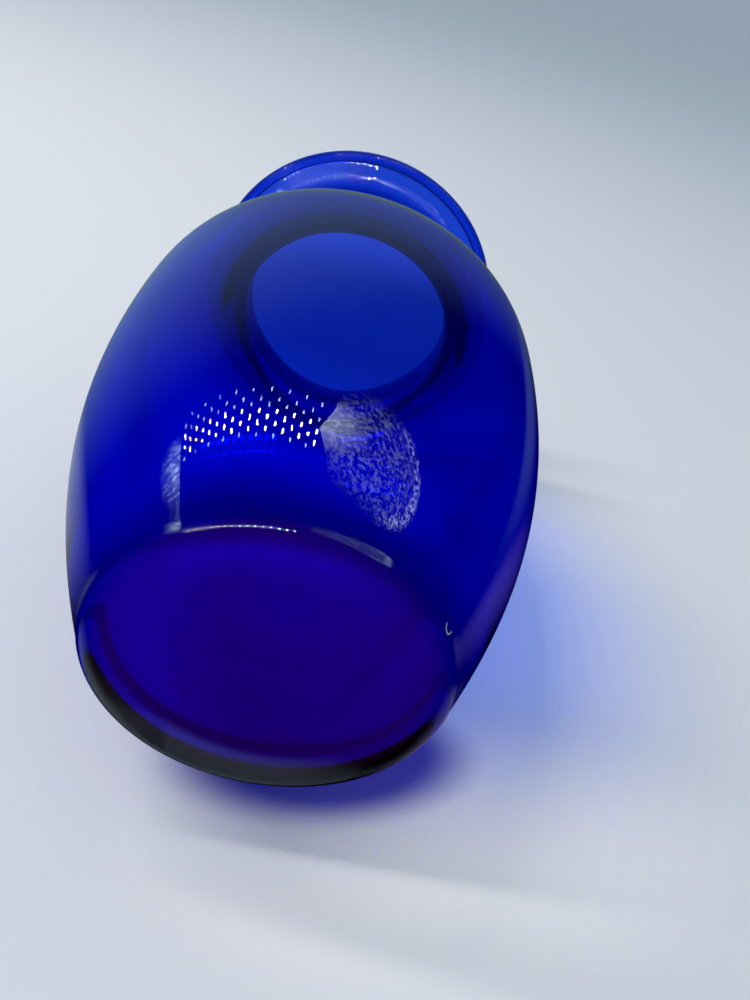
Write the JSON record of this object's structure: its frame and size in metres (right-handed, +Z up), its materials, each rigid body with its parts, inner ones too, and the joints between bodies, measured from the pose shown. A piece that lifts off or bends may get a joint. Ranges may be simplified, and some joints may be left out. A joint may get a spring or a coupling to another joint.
{
  "type": "glass bottle",
  "caption": "Ovoid blown cobalt glass bottle with a thick bottom, a short wide neck and a flared lip with a rounded rim.",
  "frame": {"origin": "on the axis, in the plane that the foot ring rests on", "axes": "+Z up along the axis, out of the mouth; X and Y are alike, because the bottle is round"},
  "size_m": [0.138, 0.138, 0.216],
  "materials": {
    "thick_glass": "deep cobalt glass, fire polished, about 8 mm thick",
    "wall_glass": "cobalt glass, fire polished, about 3 to 5 mm thick",
    "lip_glass": "cobalt glass, fire polished, about 3 to 4 mm thick"
  },
  "bodies": {
    "root": {"base": "thick_glass", "lower_body": "wall_glass", "belly": "wall_glass", "upper_body": "wall_glass", "shoulder": "wall_glass", "neck": "wall_glass", "flared_lip": "lip_glass", "rim_bead": "lip_glass"}
  },
  "joints": []
}
